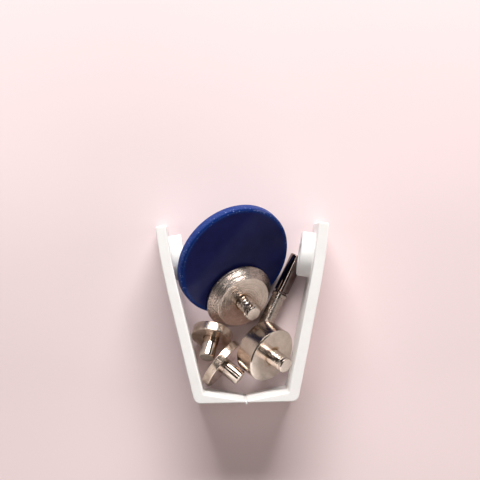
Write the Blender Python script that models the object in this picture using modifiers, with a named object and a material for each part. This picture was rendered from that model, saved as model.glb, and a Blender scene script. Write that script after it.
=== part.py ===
"""Snap setter pliers with their tool set.

A moulded plastic strip is folded round a living hinge into two springy arms.
Each arm carries a round boss with a through bore, and the shank of a turned
die plugs into it.  The set that belongs to the pliers lies loose between the
arms: a striking disc, four turned dies and a punch.

The strip lies on its side, so its width stands up along +Z and the hinge axis
is parallel to Z.  Lengths are in metres.  The object faces its arm tips to +Y.
"""
import math

import bpy
import bmesh
from mathutils import Matrix, Vector

MM = 0.001

# ---------------------------------------------------------------- dimensions
STRIP_WIDTH = 29.0 * MM        # depth of the folded strip, along Z
ARM_THICKNESS = 3.85 * MM
ARM_LEAN = math.radians(12.4)  # arm to the plane of symmetry, as moulded
TIP_LEAN = math.radians(6.5)   # the arm bows in to this at its tip
ARM_STRAIGHT = 38.5 * MM       # straight run from the base corner
ARM_BOW = 25.2 * MM            # bowed run up to the tip
YAW = math.radians(1.3)        # how the open pliers lie

BASE_HALF = 19.3 * MM          # symmetry plane to the outer corner
BASE_CORNER_DROP = 2.4 * MM
BASE_THICKNESS = 3.45 * MM     # at the corner
BASE_END_THICKNESS = 0.85 * MM  # at the living hinge
HINGE_RADIUS = 0.85 * MM
HINGE_GAP = 0.32 * MM
HINGE_RISE = 0.30 * MM

BOSS_RADIUS = 8.3 * MM
BOSS_HEIGHT = 4.45 * MM
BOSS_ALONG_BOW = 12.6 * MM     # boss axis, measured along the bowed run
SOCKET_RADIUS = 3.30 * MM      # bore for the die shanks
GAP = 0.30 * MM                # between neighbouring solids

SHANK_RADIUS = 2.95 * MM
DISC_RADIUS = 22.3 * MM
DISC_THICKNESS = 3.5 * MM
PUNCH_RADIUS = 2.85 * MM
PUNCH_COLLAR_RADIUS = 3.0 * MM
PUNCH_LENGTH = 34.0 * MM

# the hinge axis on the floor plane, so that the whole set is centred at X=Y=0
HINGE_X = 1.46 * MM
HINGE_Y = -35.83 * MM

# ---------------------------------------------------------------- clean scene
for old in list(bpy.data.objects):
    bpy.data.objects.remove(old, do_unlink=True)

parts = bpy.data.collections.new("snap_setter_pliers")
cutters = bpy.data.collections.new("cutters")
bpy.context.scene.collection.children.link(parts)
bpy.context.scene.collection.children.link(cutters)


def material(name, colour, roughness, metallic):
    mat = bpy.data.materials.new(name)
    mat.use_nodes = True
    bsdf = mat.node_tree.nodes["Principled BSDF"]
    bsdf.inputs["Base Color"].default_value = (*colour, 1.0)
    bsdf.inputs["Roughness"].default_value = roughness
    bsdf.inputs["Metallic"].default_value = metallic
    return mat


def own(obj, mat_name, colour, roughness, metallic):
    obj.data.materials.clear()
    obj.data.materials.append(material(mat_name, colour, roughness, metallic))


WHITE = ("white_plastic", (0.86, 0.85, 0.84), 0.45, 0.0)
BLUE = ("blue_plastic", (0.012, 0.022, 0.12), 0.18, 0.0)
NICKEL = ("nickel", (0.66, 0.60, 0.53), 0.22, 1.0)


def link(obj, collection=parts):
    collection.objects.link(obj)
    return obj


# ------------------------------------------------------------ turned profiles
def turned(name, profile, place, axis, look, steps=40):
    """Turn a profile of (radius, height) points, in mm, about `axis`.

    The profile runs from the top of the axis out and down its outer side to
    the bottom of the axis."""
    mesh = bpy.data.meshes.new(name)
    bm = bmesh.new()
    verts = [bm.verts.new((r * MM, 0.0, h * MM)) for r, h in profile]
    for a, b in zip(verts, verts[1:]):
        bm.edges.new((a, b))
    bm.to_mesh(mesh)
    bm.free()
    obj = link(bpy.data.objects.new(name, mesh))
    screw = obj.modifiers.new("turn", "SCREW")
    screw.axis = "Z"
    screw.angle = math.tau
    screw.steps = steps
    screw.render_steps = steps
    screw.use_merge_vertices = True
    screw.merge_threshold = 0.00001
    screw.use_smooth_shade = True
    direction = Vector(axis).normalized()
    obj.rotation_mode = "QUATERNION"
    obj.rotation_quaternion = direction.to_track_quat("Z", "Y")
    obj.location = Vector(place)
    own(obj, f"{name}_{look[0]}", *look[1:])
    return obj


# ------------------------------------------------------------- the two arms
def arm_point(s, side=0.0):
    """Point and lean at arc length s up the outer face, moved inwards by side."""
    corner = Vector((BASE_HALF, BASE_CORNER_DROP))
    if s <= ARM_STRAIGHT:
        point = corner + s * Vector((math.sin(ARM_LEAN), math.cos(ARM_LEAN)))
        lean = ARM_LEAN
    else:
        point = corner + ARM_STRAIGHT * Vector((math.sin(ARM_LEAN), math.cos(ARM_LEAN)))
        run = s - ARM_STRAIGHT
        rate = (TIP_LEAN - ARM_LEAN) / ARM_BOW
        lean = ARM_LEAN + rate * run
        point += Vector(((math.cos(ARM_LEAN) - math.cos(lean)) / rate,
                         (math.sin(lean) - math.sin(ARM_LEAN)) / rate))
    return point + side * Vector((-math.cos(lean), math.sin(lean))), lean


def half_outline():
    """Outline of the right half of the strip, seen from above."""
    end = HINGE_RADIUS + HINGE_GAP
    floor = 0.05 * MM
    outline = [Vector((end, floor)), Vector((BASE_HALF - 3.0 * MM, floor)),
               Vector((BASE_HALF - 1.25 * MM, 0.55 * MM)),
               Vector((BASE_HALF - 0.35 * MM, 1.45 * MM))]
    total = ARM_STRAIGHT + ARM_BOW
    stations = [0.0, ARM_STRAIGHT * 0.5, ARM_STRAIGHT]
    stations += [ARM_STRAIGHT + ARM_BOW * i / 6 for i in range(1, 7)]
    outline += [arm_point(s)[0] for s in stations]
    inner = [arm_point(s, ARM_THICKNESS)[0] for s in reversed(stations)]
    inner = [p for p in inner if p.y > BASE_THICKNESS + 2.2 * MM]
    outline += inner
    # inner corner fillet, then the wedge that thins down to the living hinge
    low, _ = arm_point(BASE_THICKNESS + 0.2 * MM - BASE_CORNER_DROP + 0.6 * MM, ARM_THICKNESS)
    outline += [low + Vector((0.0, 0.35 * MM)), low + Vector((-0.5 * MM, -0.25 * MM)),
                Vector((low.x - 1.3 * MM, BASE_THICKNESS))]
    outline += [Vector((end, BASE_END_THICKNESS))]
    return outline


def place_2d(p, side):
    """Mirror for the left half, yaw, and move to the hinge."""
    x = p.x * side
    return Vector((x * math.cos(YAW) - p.y * math.sin(YAW) + HINGE_X,
                   x * math.sin(YAW) + p.y * math.cos(YAW) + HINGE_Y))


def extruded(name, outline, height, look, bevel):
    curve = bpy.data.curves.new(name, "CURVE")
    curve.dimensions = "2D"
    curve.fill_mode = "BOTH"
    curve.extrude = height / 2
    spline = curve.splines.new("POLY")
    spline.points.add(len(outline) - 1)
    for slot, p in zip(spline.points, outline):
        slot.co = (p.x, p.y, 0.0, 1.0)
    spline.use_cyclic_u = True
    source = link(bpy.data.objects.new(name + "_curve", curve))
    source.location.z = height / 2
    bpy.context.view_layer.update()
    depsgraph = bpy.context.evaluated_depsgraph_get()
    mesh = bpy.data.meshes.new_from_object(source.evaluated_get(depsgraph))
    bm = bmesh.new()
    bm.from_mesh(mesh)
    bmesh.ops.remove_doubles(bm, verts=bm.verts, dist=0.000005)
    bmesh.ops.recalc_face_normals(bm, faces=bm.faces)
    bm.to_mesh(mesh)
    bm.free()
    obj = link(bpy.data.objects.new(name, mesh))
    obj.matrix_world = source.matrix_world.copy()
    bpy.data.objects.remove(source, do_unlink=True)
    mod = obj.modifiers.new("edges", "BEVEL")
    mod.width = bevel
    mod.segments = 2
    mod.limit_method = "ANGLE"
    mod.angle_limit = math.radians(50)
    own(obj, f"{name}_{look[0]}", *look[1:])
    return obj


def cutter(name, radius, depth, place, direction):
    bm = bmesh.new()
    bmesh.ops.create_cone(bm, cap_ends=True, segments=32, radius1=radius,
                          radius2=radius, depth=depth)
    mesh = bpy.data.meshes.new(name)
    bm.to_mesh(mesh)
    bm.free()
    obj = link(bpy.data.objects.new(name, mesh), cutters)
    obj.rotation_mode = "QUATERNION"
    obj.rotation_quaternion = direction.to_track_quat("Z", "Y")
    obj.location = place
    obj.hide_render = True
    obj.display_type = "WIRE"
    return obj


def cut(obj, tool):
    mod = obj.modifiers.new("bore", "BOOLEAN")
    mod.operation = "DIFFERENCE"
    mod.object = tool


HALF_WIDTH = STRIP_WIDTH / 2
for label, side in (("left", -1), ("right", 1)):
    outline = [place_2d(p, side) for p in half_outline()]
    if side < 0:
        outline.reverse()
    arm = extruded(f"{label}_arm", outline, STRIP_WIDTH, WHITE, 0.45 * MM)

    inner, lean = arm_point(ARM_STRAIGHT + BOSS_ALONG_BOW, ARM_THICKNESS)
    ahead = inner + Vector((-math.cos(lean), math.sin(lean)))
    foot = place_2d(inner, side)
    inwards = (place_2d(ahead, side) - foot).normalized()
    axis = Vector((inwards.x, inwards.y, 0.0))
    seat = Vector((foot.x, foot.y, HALF_WIDTH)) + axis * 1.7 * GAP
    r_out, r_in, h = BOSS_RADIUS / MM, SOCKET_RADIUS / MM, BOSS_HEIGHT / MM
    boss = turned(f"{label}_boss",
                  [(0.0, h), (r_out - 0.9, h), (r_out - 0.28, h - 0.25),
                   (r_out, h - 0.85), (r_out, 0.0), (0.0, 0.0)],
                  seat, axis, WHITE, steps=40)
    bore = cutter(f"{label}_bore", SOCKET_RADIUS, 16 * MM,
                  Vector((foot.x, foot.y, HALF_WIDTH)), axis)
    cut(arm, bore)
    cut(boss, bore)

# the living hinge: the thin web, rolled into a bead between the two halves
hinge_mesh = bpy.data.meshes.new("living_hinge")
bm = bmesh.new()
bmesh.ops.create_cone(bm, cap_ends=True, segments=24, radius1=HINGE_RADIUS,
                      radius2=HINGE_RADIUS, depth=STRIP_WIDTH)
bm.to_mesh(hinge_mesh)
bm.free()
hinge = link(bpy.data.objects.new("living_hinge", hinge_mesh))
hinge_at = place_2d(Vector((0.0, HINGE_RISE)), 1)
hinge.location = (hinge_at.x, hinge_at.y, HALF_WIDTH)
own(hinge, "living_hinge_white_plastic", *WHITE[1:])

# arms turn about the hinge: their origins go on its axis
bpy.context.view_layer.update()
for label in ("left", "right"):
    for piece in ("arm",):
        obj = bpy.data.objects[f"{label}_{piece}"]
        shift = Matrix.Translation(Vector((hinge_at.x, hinge_at.y, 0.0)))
        obj.data.transform(shift.inverted() @ obj.matrix_world)
        obj.matrix_world = shift


def at(x, y, z):
    """A place measured in mm from the hinge on the floor."""
    return Vector((HINGE_X + x * MM, HINGE_Y + y * MM, z * MM))


def lean_axis(tilt, heading):
    """Axis tilted from +Z by `tilt`, towards `heading` clockwise from +X, in degrees."""
    t, d = math.radians(tilt), math.radians(heading)
    return Vector((math.sin(t) * math.cos(d), -math.sin(t) * math.sin(d), math.cos(t)))


# ------------------------------------------------------------ striking disc
DISC_AXIS = lean_axis(40.6, 47.5)
R, T = DISC_RADIUS / MM, DISC_THICKNESS / MM
disc_drop = R * math.sqrt(1 - DISC_AXIS.z ** 2)
disc_back = at(-5.40, 52.85, disc_drop + 0.02)
turned("striking_disc",
       [(0.0, T), (R - 1.25, T), (R - 0.62, T - 0.17), (R - 0.17, T - 0.62),
        (R, T - 1.25), (R, 0.6), (R - 0.18, 0.18), (R - 0.6, 0.0), (0.0, 0.0)],
       disc_back, DISC_AXIS, BLUE, steps=64)


# -------------------------------------------------------------------- dies
def shank_profile(root, length, radius=SHANK_RADIUS / MM, groove=True):
    """Plain shank with a snap groove near its chamfered end."""
    top = root + length
    points = [(0.0, top), (radius - 0.45, top), (radius, top - 0.45)]
    if groove:
        points += [(radius, top - 1.15), (radius - 0.3, top - 1.3),
                   (radius - 0.3, top - 1.9), (radius, top - 2.05)]
    points += [(radius, root - 2.6), (0.0, root - 2.6)]
    return points


def die(name, place, axis, head, face, shank_length, groove, steps):
    """A turned head with a blind hole, and the shank pressed into it.

    `head` runs from the rim of the front face down the outer side to the
    middle of the back; `face` is the height of the front face."""
    hole = SHANK_RADIUS / MM + GAP / MM
    front = [(0.0, face - 2.9), (hole, face - 2.9), (hole, face - 0.25),
             (hole + 0.25, face)]
    turned(f"{name}_head", front + head, place, axis, NICKEL, steps=steps)
    turned(f"{name}_shank", shank_profile(face, shank_length, groove=groove),
           place, axis, NICKEL, steps=24)


BIG_AXIS = lean_axis(42.0, 49.5)
BIG_RIM = 13.25
big_drop = BIG_RIM * math.sqrt(1 - BIG_AXIS.z ** 2)
die("cap_die", at(-2.60, 38.20, big_drop + 0.02), BIG_AXIS,
    [(10.25, 4.4), (10.55, 4.2), (12.95, 1.2), (BIG_RIM, 0.8), (BIG_RIM, 0.25),
     (BIG_RIM - 0.25, 0.0), (9.0, 0.0), (7.0, 0.35), (4.0, 0.65), (0.0, 0.8)],
    4.4, 8.3, True, 48)

CUP_AXIS = lean_axis(49.5, 33.0)
CUP_R = 10.6
cup_drop = CUP_R * math.sqrt(1 - CUP_AXIS.z ** 2)
cup_back = at(4.88, 19.20, cup_drop + 0.02)
die("socket_die", cup_back, CUP_AXIS,
    [(10.1, 8.0), (CUP_R, 7.5), (CUP_R, 0.4), (CUP_R - 0.4, 0.0), (8.6, 0.0),
     (8.0, 1.2), (0.0, 1.2)],
    8.0, 7.9, True, 48)

STUD_AXIS = lean_axis(78.1, 38.3)
STUD_R = 9.85
stud_drop = STUD_R * math.sqrt(1 - STUD_AXIS.z ** 2)
die("stud_die", at(-9.98, 13.80, stud_drop + 0.02), STUD_AXIS,
    [(STUD_R - 0.3, 3.0), (STUD_R, 2.7), (STUD_R, 0.3), (STUD_R - 0.3, 0.0), (0.0, 0.0)],
    3.0, 7.6, False, 40)

POST_AXIS = lean_axis(58.5, 104.5)
POST_R = 7.65
post_drop = POST_R * math.sqrt(1 - POST_AXIS.z ** 2)
die("post_die", at(-12.0, 24.85, post_drop + 0.02), POST_AXIS,
    [(POST_R - 0.3, 3.7), (POST_R, 3.4), (POST_R, 0.4), (POST_R - 0.4, 0.0), (0.0, 0.0)],
    3.7, 8.0, False, 40)

# -------------------------------------------------------------------- punch
PUNCH_AXIS = Vector((0.432, 0.902, 0.0)).normalized()
L, pr, cr = PUNCH_LENGTH / MM, PUNCH_RADIUS / MM, PUNCH_COLLAR_RADIUS / MM
collar = L - 16.6
punch_top = at(20.27, 53.27, cr + 0.02)
turned("eyelet_punch",
       [(0.0, L), (pr - 0.4, L), (pr, L - 0.4), (pr, collar + 1.5),
        (pr - 0.35, collar + 1.3), (pr - 0.35, collar + 0.8), (cr, collar + 0.55),
        (cr, collar - 0.55), (pr, collar - 0.7), (pr, 1.2), (pr - 0.9, 0.0), (0.0, 0.0)],
       punch_top - PUNCH_AXIS * PUNCH_LENGTH, PUNCH_AXIS, NICKEL, steps=28)

# ------------------------------------------------------------------ shading
for obj in parts.objects:
    if obj.type == "MESH":
        obj.data.shade_smooth()
        obj.data.set_sharp_from_angle(angle=math.radians(32))
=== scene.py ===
import math

import bpy
import bmesh
from mathutils import Matrix, Vector


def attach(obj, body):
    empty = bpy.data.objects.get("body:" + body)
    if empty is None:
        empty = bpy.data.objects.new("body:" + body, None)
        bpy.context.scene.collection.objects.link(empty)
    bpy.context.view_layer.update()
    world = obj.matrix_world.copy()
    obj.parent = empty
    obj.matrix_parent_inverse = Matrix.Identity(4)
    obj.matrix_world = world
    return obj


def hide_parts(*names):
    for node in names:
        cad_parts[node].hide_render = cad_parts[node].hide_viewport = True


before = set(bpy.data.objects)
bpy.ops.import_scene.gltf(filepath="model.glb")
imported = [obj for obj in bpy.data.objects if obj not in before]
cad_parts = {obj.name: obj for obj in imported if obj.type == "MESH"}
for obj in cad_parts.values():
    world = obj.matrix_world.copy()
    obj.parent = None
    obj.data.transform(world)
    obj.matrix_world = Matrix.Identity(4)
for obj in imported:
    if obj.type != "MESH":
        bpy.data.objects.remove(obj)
bpy.context.view_layer.update()

MM = 0.001

# ------------------------------------------------------------ the same design
# sizes, in metres, repeated from the CAD model
STRIP_WIDTH = 29.0 * MM
ARM_THICKNESS = 3.85 * MM
ARM_LEAN = math.radians(12.4)
TIP_LEAN = math.radians(6.5)
ARM_STRAIGHT = 38.5 * MM
ARM_BOW = 25.2 * MM
YAW = math.radians(1.3)
BASE_HALF = 19.3 * MM
BASE_CORNER_DROP = 2.4 * MM
BASE_THICKNESS = 3.45 * MM
BASE_END_THICKNESS = 0.85 * MM
HINGE_RADIUS = 0.85 * MM
HINGE_RISE = 0.30 * MM
BOSS_RADIUS = 8.3 * MM
BOSS_REACH = 4.96 * MM
BOSS_ALONG_BOW = 12.6 * MM
SOCKET_RADIUS = 3.30 * MM
HINGE_X = 1.46 * MM
HINGE_Y = -35.83 * MM
SHANK = 2.95
DISC_R, DISC_T = 22.3, 3.5


def at(x, y, z):
    return Vector((HINGE_X + x * MM, HINGE_Y + y * MM, z * MM))


def lean_axis(tilt, heading):
    t, d = math.radians(tilt), math.radians(heading)
    return Vector((math.sin(t) * math.cos(d), -math.sin(t) * math.sin(d), math.cos(t)))


# ================================================================ materials
class Nodes:
    """Small helper that builds a node tree top to bottom."""

    def __init__(self, name):
        self.mat = bpy.data.materials.new(name)
        self.mat.use_nodes = True
        self.tree = self.mat.node_tree
        self.bsdf = self.tree.nodes["Principled BSDF"]

    def add(self, kind, **props):
        node = self.tree.nodes.new(kind)
        for key, value in props.items():
            if key.startswith("in_"):
                node.inputs[key[3:].replace("_", " ")].default_value = value
            else:
                setattr(node, key, value)
        return node

    def link(self, a, b):
        self.tree.links.new(a, b)

    def math(self, op, a, b=0.0, clamp=False):
        node = self.add("ShaderNodeMath", operation=op, use_clamp=clamp)
        for i, v in enumerate((a, b)):
            if hasattr(v, "links"):
                self.link(v, node.inputs[i])
            else:
                node.inputs[i].default_value = v
        return node.outputs[0]

    def ramp(self, source, stops, mode="LINEAR"):
        node = self.add("ShaderNodeValToRGB")
        node.color_ramp.interpolation = mode
        el = node.color_ramp.elements
        while len(el) < len(stops):
            el.new(0.5)
        for e, (pos, col) in zip(el, stops):
            e.position = pos
            e.color = col if len(col) == 4 else (*col, 1.0)
        self.link(source, node.inputs[0])
        return node.outputs[0]

    def mix(self, fac, a, b, blend="MIX"):
        node = self.add("ShaderNodeMix", data_type="RGBA", blend_type=blend)
        for socket, v in ((node.inputs[0], fac), (node.inputs[6], a), (node.inputs[7], b)):
            if hasattr(v, "links"):
                self.link(v, socket)
            elif isinstance(v, (int, float)):
                socket.default_value = v
            else:
                socket.default_value = (*v, 1.0)
        return node.outputs[2]

    def map_range(self, v, a, b, c=0.0, d=1.0, smooth=False):
        node = self.add("ShaderNodeMapRange")
        if smooth:
            node.interpolation_type = "SMOOTHSTEP"
        for key, value in (("From Min", a), ("From Max", b), ("To Min", c), ("To Max", d)):
            node.inputs[key].default_value = value
        self.link(v, node.inputs["Value"])
        return node.outputs[0]

    def coords(self, axis=None):
        """Object coordinates in millimetres, with radius and height about an axis."""
        tc = self.add("ShaderNodeTexCoord")
        scale = self.add("ShaderNodeVectorMath", operation="SCALE")
        scale.inputs["Scale"].default_value = 1000.0
        self.link(tc.outputs["Object"], scale.inputs[0])
        if axis is not None:
            along = self.add("ShaderNodeVectorMath", operation="DOT_PRODUCT")
            along.inputs[1].default_value = axis
            self.link(scale.outputs[0], along.inputs[0])
            size = self.add("ShaderNodeVectorMath", operation="LENGTH")
            self.link(scale.outputs[0], size.inputs[0])
            height = along.outputs["Value"]
            rr = self.math("SUBTRACT", self.math("MULTIPLY", size.outputs["Value"],
                                                 size.outputs["Value"]),
                           self.math("MULTIPLY", height, height))
            return scale.outputs[0], self.math("SQRT", self.math("MAXIMUM", rr, 0.0)), height
        sep = self.add("ShaderNodeSeparateXYZ")
        self.link(scale.outputs[0], sep.inputs[0])
        xx = self.math("MULTIPLY", sep.outputs[0], sep.outputs[0])
        yy = self.math("MULTIPLY", sep.outputs[1], sep.outputs[1])
        r = self.math("SQRT", self.math("ADD", xx, yy))
        return scale.outputs[0], r, sep.outputs[2]

    def noise(self, vector, scale, detail=3.0, rough=0.55, dims="3D", w=None):
        node = self.add("ShaderNodeTexNoise", noise_dimensions=dims)
        node.inputs["Scale"].default_value = scale
        node.inputs["Detail"].default_value = detail
        node.inputs["Roughness"].default_value = rough
        if vector is not None:
            self.link(vector, node.inputs["Vector"])
        if w is not None:
            self.link(w, node.inputs["W"])
        return node.outputs["Fac"]

    def bump(self, height, strength, distance, normal=None):
        node = self.add("ShaderNodeBump")
        node.inputs["Strength"].default_value = strength
        node.inputs["Distance"].default_value = distance
        self.link(height, node.inputs["Height"])
        if normal is not None:
            self.link(normal, node.inputs["Normal"])
        return node.outputs[0]


def white_plastic():
    n = Nodes("white_moulded_plastic")
    vec, r, z = n.coords()
    cloud = n.noise(vec, 0.09, 3.0)
    fine = n.noise(vec, 1.4, 4.0, 0.6)
    scuff = n.noise(vec, 0.6, 6.0, 0.75)
    base = n.ramp(cloud, [(0.30, (0.835, 0.825, 0.815)), (0.62, (0.865, 0.86, 0.855))])
    base = n.mix(n.map_range(scuff, 0.64, 0.80, 0.0, 0.14), base, (0.70, 0.66, 0.64))
    n.link(base, n.bsdf.inputs["Base Color"])
    rough = n.map_range(fine, 0.3, 0.7, 0.34, 0.48)
    n.link(rough, n.bsdf.inputs["Roughness"])
    n.bsdf.inputs["IOR"].default_value = 1.5
    n.bsdf.inputs["Subsurface Weight"].default_value = 0.16
    n.bsdf.inputs["Subsurface Radius"].default_value = (1.0, 0.86, 0.80)
    n.bsdf.inputs["Subsurface Scale"].default_value = 0.0022
    b = n.bump(fine, 0.10, 0.00012)
    b = n.bump(n.noise(vec, 0.25, 2.0), 0.12, 0.0006, b)
    n.link(b, n.bsdf.inputs["Normal"])
    return n.mat


def blue_plastic():
    n = Nodes("navy_gloss_plastic")
    vec, r, z = n.coords(DISC_AXIS)
    grain = n.noise(vec, 2.6, 5.0, 0.7)
    cloud = n.noise(vec, 0.12, 3.0)
    face = n.ramp(cloud, [(0.35, (0.0120, 0.0145, 0.078)), (0.65, (0.0150, 0.0180, 0.096))])
    # fine pale specks and hair scratches on the face
    vor = n.add("ShaderNodeTexVoronoi", feature="F1")
    vor.inputs["Scale"].default_value = 0.42
    n.link(vec, vor.inputs["Vector"])
    speck = n.map_range(vor.outputs["Distance"], 0.02, 0.075, 0.55, 0.0)
    speck = n.math("MULTIPLY", speck, n.map_range(n.noise(vec, 0.2, 1.0), 0.52, 0.60))
    face = n.mix(speck, face, (0.20, 0.22, 0.36))
    # short faint rub marks, stretched along one direction
    stretch = n.add("ShaderNodeMapping")
    stretch.inputs["Scale"].default_value = (0.10, 2.6, 1.0)
    stretch.inputs["Rotation"].default_value = (0.0, 0.0, 0.5)
    n.link(vec, stretch.inputs["Vector"])
    rub = n.noise(stretch.outputs[0], 1.0, 2.0, 0.5)
    face = n.mix(n.map_range(rub, 0.66, 0.80, 0.0, 0.22), face, (0.05, 0.055, 0.13))
    # painted sheen: the rounded rim is painted a lighter royal blue, and its wall is matt and painted lighter still,
    # standing in for the light the edge catches
    rim = n.map_range(r, DISC_R - 2.1, DISC_R - 0.9, 0.0, 1.0, smooth=True)
    painted_rim_sheen = n.ramp(grain, [(0.3, (0.003, 0.017, 0.125)), (0.7, (0.006, 0.034, 0.195))])
    colour = n.mix(rim, face, painted_rim_sheen)
    wall = n.map_range(r, DISC_R - 0.42, DISC_R - 0.08, 0.0, 1.0, smooth=True)
    sandy_wall_sheen = n.ramp(grain, [(0.34, (0.006, 0.024, 0.145)), (0.56, (0.018, 0.044, 0.21)), (0.72, (0.080, 0.12, 0.34))])
    colour = n.mix(wall, colour, sandy_wall_sheen)
    # painted glints: pale specks along the rounded edge, fading towards the back, stand in for the glints the edge
    # catches
    spark = n.add("ShaderNodeTexVoronoi", feature="F1")
    spark.inputs["Scale"].default_value = 1.15
    n.link(vec, spark.inputs["Vector"])
    painted_glints = n.map_range(spark.outputs["Distance"], 0.10, 0.34, 0.85, 0.0)
    edge = n.map_range(r, DISC_R - 1.5, DISC_R - 0.3, 0.0, 1.0, smooth=True)
    edge = n.math("MULTIPLY", edge, n.map_range(z, DISC_T - 2.2, DISC_T - 0.9, 0.12, 1.0))
    painted_glints = n.math("MULTIPLY", n.math("MULTIPLY", painted_glints, edge),
                  n.map_range(n.noise(vec, 0.55, 2.0), 0.44, 0.62))
    colour = n.mix(painted_glints, colour, (0.27, 0.36, 0.66))
    n.link(colour, n.bsdf.inputs["Base Color"])
    rough_face = n.map_range(n.noise(vec, 0.5, 4.0, 0.7), 0.35, 0.75, 0.07, 0.17)
    rough = n.math("ADD", rough_face, n.math("MULTIPLY", wall, 0.34))
    n.link(rough, n.bsdf.inputs["Roughness"])
    n.bsdf.inputs["IOR"].default_value = 1.50
    n.bsdf.inputs["Specular IOR Level"].default_value = 0.11
    b = n.bump(n.noise(vec, 0.10, 2.0), 0.10, 0.0004)
    b = n.bump(grain, 0.05, 0.00003, b)
    b = n.bump(n.math("MULTIPLY", wall, n.noise(vec, 1.5, 4.0, 0.75)), 0.8, 0.00035, b)
    n.link(b, n.bsdf.inputs["Normal"])
    return n.mat


def nickel(name, light=(0.80, 0.70, 0.62), dark=(0.58, 0.485, 0.42), rough=(0.10, 0.24),
           ring_pitch=3.0, ring_depth=0.00002, aniso=0.55, oxide=None, tip=None, dull_shade_level=None, wall=None, octaves=3.0,
           end_tone=1.0, coarse_cut_and_shade=None):
    """Nickel plate on turned steel; local Z is the turning axis."""
    n = Nodes(name)
    vec, r, z = n.coords()
    path = n.math("SUBTRACT", r, n.math("MULTIPLY", z, 1.37))
    rings = n.noise(None, ring_pitch, octaves, 0.7, dims="1D", w=path)
    patch = n.noise(vec, 0.30, 3.0, 0.6)
    pits = n.noise(vec, 2.2, 3.0, 0.7)
    colour = n.ramp(patch, [(0.28, dark), (0.62, light)])
    colour = n.mix(n.map_range(rings, 0.35, 0.75, 0.0, 0.30), colour, (0.56, 0.47, 0.41))
    colour = n.mix(n.map_range(pits, 0.62, 0.78, 0.0, 0.50), colour, (0.27, 0.21, 0.18))
    # painted shade: the tint darkens the colour on the outer wall, standing in for the dark surroundings it reflects
    if wall is not None:
        radius, wall_shade_tint = wall
        colour = n.mix(n.map_range(r, radius - 0.12, radius, 0.0, 1.0), colour,
                       n.mix(1.0, colour, wall_shade_tint, "MULTIPLY"))
    if oxide is not None:
        lo, hi, level = oxide
        ring = n.math("MULTIPLY", n.map_range(r, lo - 0.35, lo, 0.0, 1.0, True),
                      n.map_range(r, lo + 0.15, hi, 1.0, 0.0, True))
        ring = n.math("MULTIPLY", ring, n.map_range(z, level - 1.2, level - 0.2, 0.0, 1.0, True))
        ring = n.math("MULTIPLY", ring, n.map_range(z, level + 1.1, level + 1.9, 1.0, 0.0, True))
        ring = n.math("MULTIPLY", ring, n.map_range(n.noise(vec, 0.34, 2.0), 0.40, 0.60, 0.15, 0.92))
        colour = n.mix(ring, colour, (0.42, 0.235, 0.10))
    n.link(colour, n.bsdf.inputs["Base Color"])
    n.bsdf.inputs["Metallic"].default_value = 1.0
    ro = n.math("ADD", n.map_range(rings, 0.3, 0.75, rough[0], rough[1]),
                n.map_range(patch, 0.55, 0.75, 0.0, 0.06))
    if coarse_cut_and_shade is not None:
        # the coarser cut outside this radius scatters more
        outer = n.map_range(r, coarse_cut_and_shade[0] - 0.1, coarse_cut_and_shade[0] + 0.1, 0.0, 1.0)
        ro = n.math("ADD", ro, n.math("MULTIPLY", outer, coarse_cut_and_shade[1]))
        flat = n.add("ShaderNodeVectorMath", operation="MULTIPLY")
        flat.inputs[1].default_value = (1.0, 1.0, 0.0)
        n.link(vec, flat.inputs[0])
        unit = n.add("ShaderNodeVectorMath", operation="NORMALIZE")
        n.link(flat.outputs[0], unit.inputs[0])
        lift = n.add("ShaderNodeCombineXYZ")
        n.link(n.math("MULTIPLY", path, 0.15), lift.inputs[2])
        around = n.add("ShaderNodeVectorMath", operation="ADD")
        n.link(unit.outputs[0], around.inputs[0])
        n.link(lift.outputs[0], around.inputs[1])
        chatter = n.noise(around.outputs[0], 14.0, 3.0, 0.8)
        # painted shade: the outer cone's colour is darkened, standing in for the dark room its sides reflect
        colour = n.mix(outer, colour, n.mix(1.0, colour, (0.86, 0.79, 0.76), "MULTIPLY"))
        colour_mask = n.math("MULTIPLY", outer, n.map_range(chatter, 0.42, 0.57, 1.0, 0.0, True))
        n.tree.links.remove(n.bsdf.inputs["Base Color"].links[0])
        n.link(n.mix(colour_mask, colour, (0.25, 0.225, 0.215)), n.bsdf.inputs["Base Color"])
        ro = n.math("ADD", ro, n.math("MULTIPLY", colour_mask, 0.16))
    if tip is not None:
        # the sawn end is matt and finely speckled
        end = n.map_range(z, tip - 0.10, tip - 0.02, 0.0, 1.0)
        ro = n.math("ADD", ro, n.math("MULTIPLY", end, 0.26))
        sand = n.noise(vec, 3.4, 4.0, 0.8)
        n.tree.links.remove(n.bsdf.inputs["Base Color"].links[0])
        n.link(n.mix(end, colour, n.ramp(sand, [
            (0.34, tuple(v * end_tone for v in (0.52, 0.45, 0.40))),
            (0.54, tuple(v * end_tone for v in (0.98, 0.88, 0.81)))])),
               n.bsdf.inputs["Base Color"])
    if dull_shade_level is not None:
        # painted shade: below this height the bar is rougher, and its colour is painted darker to stand in for the
        # dark reflection it shows
        dull_shaded_lower = n.map_range(z, dull_shade_level - 0.5, dull_shade_level + 0.5, 1.0, 0.0, True)
        ro = n.math("ADD", ro, n.math("MULTIPLY", dull_shaded_lower, 0.20))
        n.tree.links.remove(n.bsdf.inputs["Base Color"].links[0])
        colour = n.mix(n.math("MULTIPLY", dull_shaded_lower, 0.62), colour, (0.50, 0.41, 0.36))
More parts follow.
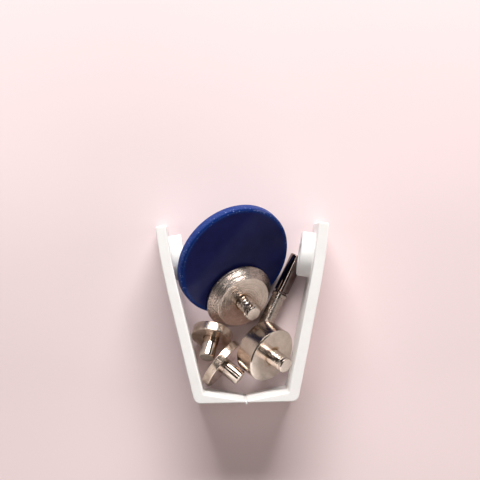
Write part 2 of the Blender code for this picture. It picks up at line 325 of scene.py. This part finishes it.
        # painted dark reflection: the working end past the collar is painted darker, standing in for the dark
        # surroundings it reflects
        painted_dark_upper = n.map_range(z, dull_shade_level + 1.5, dull_shade_level + 1.9, 0.0, 1.0)
        n.link(n.mix(painted_dark_upper, colour, n.mix(1.0, colour, (0.40, 0.34, 0.35), "MULTIPLY")),
               n.bsdf.inputs["Base Color"])
    n.link(ro, n.bsdf.inputs["Roughness"])
    n.bsdf.inputs["Anisotropic"].default_value = aniso
    tangent = n.add("ShaderNodeTangent", direction_type="RADIAL", axis="Z")
    n.link(tangent.outputs[0], n.bsdf.inputs["Tangent"])
    b = n.bump(rings, 0.55, ring_depth)
    b = n.bump(pits, 0.10, 0.00003, b)
    n.link(b, n.bsdf.inputs["Normal"])
    return n.mat


DISC_AXIS = lean_axis(40.6, 47.5)
WHITE = white_plastic()
BLUE = blue_plastic()


# ================================================================ geometry
def new_object(name, bm, mat, slot):
    mesh = bpy.data.meshes.new(name)
    bm.to_mesh(mesh)
    bm.free()
    obj = bpy.data.objects.new(name, mesh)
    bpy.context.scene.collection.objects.link(obj)
    mesh.materials.append(mat)
    return obj


def outwards(bm):
    """Turn every face of a closed mesh to the outside."""
    bmesh.ops.recalc_face_normals(bm, faces=bm.faces)
    if bm.calc_volume(signed=True) < 0.0:
        bmesh.ops.reverse_faces(bm, faces=bm.faces)


def settle(obj, angle=35.0):
    """Apply an object's modifiers, weld, and shade it smooth with crisp edges."""
    bpy.context.view_layer.update()
    dg = bpy.context.evaluated_depsgraph_get()
    mesh = bpy.data.meshes.new_from_object(obj.evaluated_get(dg))
    obj.modifiers.clear()
    obj.data = mesh
    bm = bmesh.new()
    bm.from_mesh(mesh)
    bmesh.ops.remove_doubles(bm, verts=bm.verts, dist=0.000002)
    bmesh.ops.dissolve_degenerate(bm, edges=bm.edges, dist=0.000001)
    outwards(bm)
    bm.to_mesh(mesh)
    bm.free()
    mesh.shade_smooth()
    mesh.set_sharp_from_angle(angle=math.radians(angle))
    wn = obj.modifiers.new("normals", "WEIGHTED_NORMAL")
    wn.keep_sharp = True
    wn.weight = 60
    return obj


def soften(profile, radii):
    """Round the inner corners of a (radius, height) profile, in mm."""
    out = []
    n = len(profile)
    for i, p in enumerate(profile):
        rr = radii.get(i, 0.0)
        if rr == 0.0 or i in (0, n - 1):
            out.append(p)
            continue
        a, b, c = Vector(profile[i - 1]), Vector(p), Vector(profile[i + 1])
        u, v = (a - b), (c - b)
        lu, lv = u.length, v.length
        u.normalize()
        v.normalize()
        half = math.acos(max(-1.0, min(1.0, u.dot(v)))) / 2
        if half > math.radians(88):
            out.append(p)
            continue
        cut = min(rr / math.tan(half), lu * 0.48, lv * 0.48)
        p0, p1 = b + u * cut, b + v * cut
        for k in range(5):
            t = k / 4
            q = (1 - t) ** 2 * p0 + 2 * t * (1 - t) * b + t ** 2 * p1
            out.append((q.x, q.y))
    return out


def turned(name, profile, place, axis, mat, steps=128):
    bm = bmesh.new()
    verts = [bm.verts.new((r * MM, 0.0, h * MM)) for r, h in profile]
    for a, b in zip(verts, verts[1:]):
        bm.edges.new((a, b))
    obj = new_object(name, bm, mat, "")
    screw = obj.modifiers.new("turn", "SCREW")
    screw.axis = "Z"
    screw.angle = math.tau
    screw.steps = steps
    screw.render_steps = steps
    screw.use_merge_vertices = True
    screw.merge_threshold = 0.000004
    settle(obj, 40.0)
    obj.rotation_mode = "QUATERNION"
    obj.rotation_quaternion = Vector(axis).normalized().to_track_quat("Z", "Y")
    obj.location = Vector(place)
    return obj


# ---------------------------------------------------------------- the pliers
def arm_point(s, side=0.0):
    corner = Vector((BASE_HALF, BASE_CORNER_DROP))
    if s <= ARM_STRAIGHT:
        point = corner + s * Vector((math.sin(ARM_LEAN), math.cos(ARM_LEAN)))
        lean = ARM_LEAN
    else:
        point = corner + ARM_STRAIGHT * Vector((math.sin(ARM_LEAN), math.cos(ARM_LEAN)))
        run = s - ARM_STRAIGHT
        rate = (TIP_LEAN - ARM_LEAN) / ARM_BOW
        lean = ARM_LEAN + rate * run
        point += Vector(((math.cos(ARM_LEAN) - math.cos(lean)) / rate,
                         (math.sin(lean) - math.sin(ARM_LEAN)) / rate))
    return point + side * Vector((-math.cos(lean), math.sin(lean))), lean


def fillet(points, where, radius, count=6):
    """Replace the corner at index `where` of a closed 2-D outline by an arc."""
    a, b, c = points[where - 1], points[where], points[(where + 1) % len(points)]
    u, v = (a - b).normalized(), (c - b).normalized()
    half = math.acos(max(-1.0, min(1.0, u.dot(v)))) / 2
    cut = radius / math.tan(half)
    centre = b + (u + v).normalized() * (radius / math.sin(half))
    p0, p1 = b + u * cut, b + v * cut
    a0 = math.atan2(p0.y - centre.y, p0.x - centre.x)
    a1 = math.atan2(p1.y - centre.y, p1.x - centre.x)
    d = (a1 - a0 + math.pi) % (2 * math.pi) - math.pi
    arc = [centre + radius * Vector((math.cos(a0 + d * i / count), math.sin(a0 + d * i / count)))
           for i in range(count + 1)]
    return points[:where] + arc + points[where + 1:]


def half_outline():
    """Right half of the strip, seen from above, counter-clockwise."""
    gap = 0.20 * MM
    floor = 0.05 * MM
    total = ARM_STRAIGHT + ARM_BOW
    outer_corner = Vector((BASE_HALF - math.tan(ARM_LEAN) * (BASE_CORNER_DROP - floor), floor))
    inner_foot = None
    # where the arm's inner face meets the base's inner face
    p0, _ = arm_point(0.0, ARM_THICKNESS)
    p1, _ = arm_point(ARM_STRAIGHT, ARM_THICKNESS)
    level = BASE_THICKNESS + 0.05 * MM
    t = (level - p0.y) / (p1.y - p0.y)
    inner_foot = p0.lerp(p1, t)
    stations = [ARM_STRAIGHT * i / 6 for i in range(1, 7)]
    stations += [ARM_STRAIGHT + ARM_BOW * i / 16 for i in range(1, 17)]
    pts = [Vector((gap, floor)), outer_corner]
    pts += [arm_point(s)[0] for s in stations]
    tip_out = len(pts) - 1
    pts += [arm_point(s, ARM_THICKNESS)[0] for s in reversed(stations)]
    pts.append(inner_foot)
    corner = len(pts) - 1
    pts.append(Vector((1.05 * MM, BASE_END_THICKNESS + 0.12 * MM)))
    pts.append(Vector((gap, BASE_END_THICKNESS + 0.14 * MM)))
    pts = fillet(pts, corner, 0.7 * MM)
    pts = fillet(pts, tip_out + 1, 0.75 * MM)
    pts = fillet(pts, tip_out, 0.85 * MM)
    pts = fillet(pts, 1, 2.7 * MM, 10)
    return pts


def place_2d(p, side):
    x = p.x * side
    return Vector((x * math.cos(YAW) - p.y * math.sin(YAW) + HINGE_X,
                   x * math.sin(YAW) + p.y * math.cos(YAW) + HINGE_Y))


def prism(name, outline, z0, z1, mat):
    bm = bmesh.new()
    low = [bm.verts.new((p.x, p.y, z0)) for p in outline]
    face = bm.faces.new(low)
    top = bmesh.ops.extrude_face_region(bm, geom=[face])
    moved = [g for g in top["geom"] if isinstance(g, bmesh.types.BMVert)]
    bmesh.ops.translate(bm, verts=moved, vec=(0, 0, z1 - z0))
    outwards(bm)
    return new_object(name, bm, mat, "")


def rod(name, radius, depth, place, axis, segments=96, profile=None):
    if profile is None:
        profile = [(0.0, depth / MM), (radius / MM, depth / MM), (radius / MM, 0.0), (0.0, 0.0)]
    return turned(name, profile, place, axis, WHITE, segments)


def boolean(obj, tool, operation):
    mod = obj.modifiers.new(operation.lower(), "BOOLEAN")
    mod.operation = operation
    mod.solver = "MANIFOLD"
    mod.object = tool


def make_half(label, side):
    outline = [place_2d(p, side) for p in half_outline()]
    if side < 0:
        outline.reverse()
    body = prism(f"{label}_half_moulding", outline, 0.0, STRIP_WIDTH, WHITE)
    bevel = body.modifiers.new("edges", "BEVEL")
    bevel.width = 0.42 * MM
    bevel.segments = 3
    bevel.limit_method = "ANGLE"
    bevel.angle_limit = math.radians(50)
    bevel.use_clamp_overlap = False
    settle(body)
    body.modifiers.clear()

    # at the hinge: the notch above, and a shallow relief below so the halves can fold down
    notch = [Vector((-0.5 * MM, 0.42 * MM)), Vector((0.20 * MM, 0.42 * MM)),
             Vector((0.62 * MM, BASE_END_THICKNESS - 0.02 * MM)),
             Vector((1.25 * MM, BASE_END_THICKNESS + 0.19 * MM)),
             Vector((1.25 * MM, 3.0 * MM)), Vector((-0.5 * MM, 3.0 * MM))]
    relief = [Vector((-0.5 * MM, 0.433 * MM)), Vector((-0.5 * MM, -1.0 * MM)),
              Vector((1.25 * MM, -1.0 * MM)), Vector((1.25 * MM, 0.0006 * MM))]
    for shape in (notch, relief):
        cutter = prism("tmp_cutter", [place_2d(p, side) for p in shape], -1.0 * MM,
                       STRIP_WIDTH + 1.0 * MM, WHITE)
        boolean(body, cutter, "DIFFERENCE")
        settle(body)
        body.modifiers.clear()
        bpy.data.objects.remove(cutter, do_unlink=True)

    inner, lean = arm_point(ARM_STRAIGHT + BOSS_ALONG_BOW, ARM_THICKNESS)
    ahead = inner + Vector((-math.cos(lean), math.sin(lean)))
    foot = place_2d(inner, side)
    inwards = (place_2d(ahead, side) - foot).normalized()
    axis = Vector((inwards.x, inwards.y, 0.0))
    middle = Vector((foot.x, foot.y, STRIP_WIDTH / 2))
    rb, hb = BOSS_RADIUS / MM, BOSS_REACH / MM
    boss_profile = soften([(0.0, hb), (rb - 0.02, hb), (rb + 0.05, 0.35), (rb + 0.45, -0.1),
                           (rb + 0.45, -1.2), (0.0, -1.2)], {1: 0.85, 2: 0.4})
    boss = rod("tmp_boss", 0, 0, middle, axis, 112, boss_profile)
    boss.modifiers.clear()
    rs = SOCKET_RADIUS / MM
    reach = hb + 0.6
    back = ARM_THICKNESS / MM + 0.6
    bore_profile = [(0.0, reach), (rs + 0.95, reach), (rs, hb - 0.35), (rs, -back + 0.95),
                    (rs + 0.9, -back), (0.0, -back)]
    bore = rod("tmp_bore", 0, 0, middle, axis, 80, bore_profile)
    bore.modifiers.clear()
    bpy.context.view_layer.update()
    boolean(body, boss, "UNION")
    boolean(body, bore, "DIFFERENCE")
    settle(body, 32.0)
    for tool in (boss, bore):
        bpy.data.objects.remove(tool, do_unlink=True)
    # local origin on the hinge axis, so textures sit on the moulding
    shift = Matrix.Translation(Vector((HINGE_X, HINGE_Y, 0.0)))
    body.data.transform(shift.inverted())
    body.matrix_world = shift
    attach(body, f"{label}_half")
    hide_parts(f"{label}_arm", f"{label}_boss")
    return body


left_half = make_half("left", -1)
right_half = make_half("right", 1)

# the living hinge: a thin web between the halves that stands out as a nub below
web = [Vector((0.31 * MM * math.copysign(abs(math.cos(t)) ** 0.8, math.cos(t)),
               (-0.03 + 0.50 * math.copysign(abs(math.sin(t)) ** 0.8, math.sin(t))) * MM))
       for t in (math.tau * i / 28 for i in range(28))]
bead = prism("living_hinge_web", [place_2d(p, 1) for p in web], 0.0, STRIP_WIDTH, WHITE)
settle(bead, 40.0)
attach(bead, "hinge")
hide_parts("living_hinge")

# ------------------------------------------------------------ striking disc
drop = DISC_R * math.sqrt(1 - DISC_AXIS.z ** 2)
disc = turned("striking_disc_moulding",
              soften([(0.0, DISC_T), (DISC_R - 0.02, DISC_T), (DISC_R, 0.02), (DISC_R - 1.2, 0.0),
                      (DISC_R - 1.6, 0.35), (0.0, 0.35)], {1: 1.15, 2: 0.55, 3: 0.25, 4: 0.25}),
              at(-5.40, 52.85, drop + 0.02), DISC_AXIS, BLUE, 192)
disc.data.transform(disc.rotation_quaternion.to_matrix().to_4x4())
disc.rotation_quaternion = (1, 0, 0, 0)
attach(disc, "disc")
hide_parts("striking_disc")


# -------------------------------------------------------------------- dies
def shank_profile(root, length, groove=True):
    top = root + length
    r = SHANK
    pts = [(0.0, top + 0.02), (r - 0.42, top), (r, top - 0.42)]
    radii = {1: 0.10, 2: 0.12}
    if groove:
        pts += [(r, top - 1.10), (r - 0.30, top - 1.30), (r - 0.30, top - 1.85), (r, top - 2.05)]
        radii.update({3: 0.05, 4: 0.06, 5: 0.06, 6: 0.05})
        # light turning rings up the shank
        z = top - 2.6
        while z > root + 0.5:
            deep = 0.035 + 0.035 * math.sin(z * 3.7) ** 2
            pts += [(r, z), (r - deep, z - 0.10), (r - deep, z - 0.24), (r, z - 0.34)]
            z -= 0.58
    pts += [(r, root + 0.02), (r, root - 2.6), (0.0, root - 2.6)]
    return soften(pts, radii)


def die(name, body, place, axis, head, radii, face, length, groove, head_mat, shank_mat, nodes):
    hole = SHANK + 0.06
    front = [(0.0, face - 2.9), (hole, face - 2.9), (hole, face - 0.12), (hole + 0.14, face)]
    profile = soften(front + head, {2: 0.03, **{k + 4: v for k, v in radii.items()}})
    top = turned(f"{name}_head_turned", profile, place, axis, head_mat, 160)
    pin = turned(f"{name}_shank_turned", shank_profile(face, length, groove), place, axis,
                 shank_mat, 72)
    for piece, node in ((top, nodes[0]), (pin, nodes[1])):
        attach(piece, body)
        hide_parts(node)
    return top, pin


BIG_AXIS = lean_axis(42.0, 49.5)
BIG_RIM = 13.25
big_drop = BIG_RIM * math.sqrt(1 - BIG_AXIS.z ** 2)
cap_head_mat = nickel("nickel_cap_die", (0.97, 0.86, 0.78), (0.77, 0.655, 0.575),
                      rough=(0.14, 0.30), ring_pitch=2.0, ring_depth=0.00008,
                      coarse_cut_and_shade=(10.5, 0.0), aniso=0.62, oxide=(SHANK, SHANK + 2.1, 4.4))


def shank_mat(name, tip, rough=(0.10, 0.22), depth=0.00002, end_tone=1.0):
    return nickel(name, rough=rough, ring_pitch=3.5, ring_depth=depth, aniso=0.40, tip=tip,
                  end_tone=end_tone)



def cone_grooves(start, end, count, depth):
    """Saw-tooth turning marks down a cone, from start to end (radius, height)."""
    a, b = Vector(start), Vector(end)
    run = (b - a) / count
    inward = Vector((run.y, -run.x)).normalized() * depth
    if inward.x > 0:
        inward = -inward
    pts = []
    for i in range(count):
        deep = 0.55 + 0.45 * math.sin(i * 2.4) ** 2
        p = a + run * (i + 0.10)
        q = a + run * (i + 0.52) + inward * deep
        pts += [(p.x, p.y), (q.x, q.y)]
    pts.append((b.x, b.y))
    return pts


cone = [(10.4, 4.4), (10.62, 4.12)] + cone_grooves((10.62, 4.12), (12.85, 1.28), 8, 0.085)
die("cap_die", "cap_die", at(-2.60, 38.20, big_drop + 0.02), BIG_AXIS,
    cone + [(12.97, 1.12), (BIG_RIM, 0.85), (BIG_RIM, 0.0), (9.0, 0.0),
            (7.0, 0.35), (4.0, 0.65), (0.0, 0.8)],
    {0: 0.10, len(cone): 0.08, len(cone) + 1: 0.15, len(cone) + 2: 0.2},
    4.4, 8.3, True, cap_head_mat, shank_mat("nickel_cap_shank", 12.7),
    ("cap_die_head", "cap_die_shank"))

CUP_AXIS = lean_axis(49.5, 33.0)
CUP_R = 10.6
cup_drop = CUP_R * math.sqrt(1 - CUP_AXIS.z ** 2)
# painted shade: the wall entry darkens the socket die's outer wall
socket_head_mat = nickel("nickel_socket_die", (0.97, 0.86, 0.78), (0.80, 0.69, 0.61), rough=(0.12, 0.22), ring_pitch=3.0,
                         ring_depth=0.00002, aniso=0.6, oxide=(SHANK, SHANK + 1.9, 8.0),
                         wall=(CUP_R - 0.05, (0.58, 0.53, 0.50)))
die("socket_die", "socket_die", at(4.88, 19.20, cup_drop + 0.02), CUP_AXIS,
    [(10.15, 8.0), (CUP_R, 7.55), (CUP_R, 0.0), (8.6, 0.0), (8.0, 1.2), (0.0, 1.2)],
    {0: 0.16, 1: 0.16, 2: 0.4, 3: 0.15}, 8.0, 7.9, True, socket_head_mat,
    shank_mat("nickel_socket_shank", 15.9),
    ("socket_die_head", "socket_die_shank"))

STUD_AXIS = lean_axis(78.1, 38.3)
STUD_R = 9.85
stud_drop = STUD_R * math.sqrt(1 - STUD_AXIS.z ** 2)
small_mat = nickel("nickel_small_die", (0.80, 0.67, 0.57), (0.46, 0.335, 0.265), rough=(0.16, 0.28), ring_pitch=4.0, ring_depth=0.000012,
                   aniso=0.5)
die("stud_die", "stud_die", at(-9.98, 13.80, stud_drop + 0.02), STUD_AXIS,
    [(STUD_R - 0.12, 3.0), (STUD_R, 2.7), (STUD_R, 0.0), (0.0, 0.0)],
    {0: 0.25, 1: 0.3, 2: 0.35}, 3.0, 7.6, False, small_mat,
    shank_mat("nickel_stud_shank", 10.6, (0.06, 0.14), 0.00001),
    ("stud_die_head", "stud_die_shank"))

POST_AXIS = lean_axis(58.5, 104.5)
POST_R = 7.65
post_drop = POST_R * math.sqrt(1 - POST_AXIS.z ** 2)
die("post_die", "post_die", at(-12.0, 24.85, post_drop + 0.02), POST_AXIS,
    [(POST_R - 0.12, 3.7), (POST_R, 3.4), (POST_R, 0.0), (0.0, 0.0)],
    {0: 0.25, 1: 0.3, 2: 0.4}, 3.7, 8.0, False, small_mat,
    # end_tone 0.55 makes this shank's sawn end darker than the other dies' ends
    shank_mat("nickel_post_shank", 11.7, (0.08, 0.17), 0.00001, 0.55),
    ("post_die_head", "post_die_shank"))

# -------------------------------------------------------------------- punch
PUNCH_AXIS = Vector((0.432, 0.902, 0.0)).normalized()
L, pr, cr = 34.0, 2.85, 3.0
collar = L - 16.6
# painted shade: the punch is painted darker below its collar and again past it
punch_mat = nickel("nickel_punch", light=(0.74, 0.68, 0.61), dark=(0.42, 0.36, 0.32),
                   rough=(0.04, 0.10), ring_pitch=3.0, ring_depth=0.000010, aniso=0.3, dull_shade_level=16.2)
punch = turned("eyelet_punch_turned",
               soften([(0.0, L), (pr - 0.35, L), (pr, L - 0.35), (pr, collar + 1.75),
                       (pr - 0.55, collar + 1.45), (pr - 0.55, collar + 1.05),
                       (cr, collar + 0.70), (cr, collar - 0.55), (pr - 0.22, collar - 0.85),
                       (pr, 1.2), (pr - 0.9, 0.0), (0.0, 0.0)],
                      {1: 0.1, 2: 0.15, 3: 0.1, 4: 0.1, 5: 0.1, 6: 0.12, 7: 0.12, 9: 0.3, 10: 0.2}),
               at(20.27, 53.27, cr + 0.02) - PUNCH_AXIS * L * MM, PUNCH_AXIS, punch_mat, 96)
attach(punch, "punch")
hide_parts("eyelet_punch")

# ================================================================ surroundings
floor_mat = Nodes("pale_floor")
fvec, fr, fz = floor_mat.coords()
floor_col = floor_mat.ramp(floor_mat.noise(fvec, 0.004, 2.0),
                           [(0.35, (0.79, 0.655, 0.67)), (0.65, (0.83, 0.69, 0.705))])
floor_mat.link(floor_col, floor_mat.bsdf.inputs["Base Color"])
floor_mat.bsdf.inputs["Roughness"].default_value = 0.6
bm = bmesh.new()
bmesh.ops.create_grid(bm, x_segments=8, y_segments=8, size=1.6)
floor = new_object("floor", bm, floor_mat.mat, "")


def area_light(name, place, target, size, power, colour=(1, 1, 1), size_y=None):
    data = bpy.data.lights.new(name, "AREA")
    data.energy = power
    data.color = colour
    data.size = size
    if size_y:
        data.shape = "RECTANGLE"
        data.size_y = size_y
    obj = bpy.data.objects.new(name, data)
    bpy.context.scene.collection.objects.link(obj)
    obj.location = place
    obj.rotation_euler = (Vector(target) - Vector(place)).to_track_quat("-Z", "Y").to_euler()
    return obj


# a tall softbox behind, a narrow strip overhead, weak warm fills at the sides
area_light("back", (0.0, 0.82, 0.54), (0, 0, 0.01), 0.72, 16.0, (1.0, 0.985, 0.965), 0.48)
area_light("overhead", (-0.24, 0.12, 0.95), (0, 0, 0), 0.34, 0.40, (1.0, 0.99, 0.975), 0.05)
area_light("right_fill", (0.85, 0.05, 0.24), (0, 0, 0.01), 0.40, 2.6, (1.0, 0.92, 0.875), 0.20)
area_light("left_fill", (-0.80, -0.05, 0.26), (0, 0, 0.01), 0.35, 1.6, (1.0, 0.94, 0.91), 0.18)
area_light("front_warm", (0.62, -0.62, 0.45), (0, 0, 0.01), 0.60, 1.5, (1.0, 0.86, 0.77), 0.25)

world = bpy.data.worlds.new("studio")
bpy.context.scene.world = world
world.use_nodes = True
wt = world.node_tree
bg = wt.nodes["Background"]
tc = wt.nodes.new("ShaderNodeTexCoord")
sep = wt.nodes.new("ShaderNodeSeparateXYZ")
wt.links.new(tc.outputs["Generated"], sep.inputs[0])
ramp = wt.nodes.new("ShaderNodeValToRGB")
el = ramp.color_ramp.elements
el[0].position, el[0].color = 0.0, (1.95, 1.56, 1.36, 1)
el[1].position, el[1].color = 1.0, (0.16, 0.155, 0.15, 1)
for pos, col in ((0.025, (1.75, 1.38, 1.20, 1)), (0.075, (0.13, 0.10, 0.09, 1)),
                 (0.85, (0.03, 0.026, 0.024, 1))):
    e = el.new(pos)
    e.color = col
wt.links.new(sep.outputs[2], ramp.inputs[0])
# the band along the horizon is bright on the lower right and dim on the far side
dot = wt.nodes.new("ShaderNodeVectorMath")
dot.operation = "DOT_PRODUCT"
dot.inputs[1].default_value = Vector((0.72, -0.69, 0.0))
wt.links.new(tc.outputs["Generated"], dot.inputs[0])
glow = wt.nodes.new("ShaderNodeMapRange")
glow.interpolation_type = "SMOOTHSTEP"
for key, value in (("From Min", -0.35), ("From Max", 0.55), ("To Min", 0.10), ("To Max", 1.12)):
    glow.inputs[key].default_value = value
wt.links.new(dot.outputs["Value"], glow.inputs["Value"])
wt.links.new(ramp.outputs[0], bg.inputs["Color"])
wt.links.new(glow.outputs[0], bg.inputs["Strength"])
bpy.context.scene.view_settings.view_transform = "Standard"

cam_data = bpy.data.cameras.new("camera")
cam_data.sensor_width = 36.0
cam_data.lens = 36.0 * 1595.0 / 480.0
cam_data.clip_start = 0.01
cam = bpy.data.objects.new("camera", cam_data)
bpy.context.scene.collection.objects.link(cam)
eye = Vector((-0.01254, 0.02344, 0.609))
aim = Vector((-0.00090, 0.02344, 0.029))
forward = (aim - eye).normalized()
right = forward.cross(Vector((0, 1, 0))).normalized()
up = right.cross(forward)
cam.matrix_world = Matrix((
    (right.x, up.x, -forward.x, eye.x),
    (right.y, up.y, -forward.y, eye.y),
    (right.z, up.z, -forward.z, eye.z),
    (0, 0, 0, 1)))
bpy.context.scene.camera = cam

bpy.context.view_layer.update()
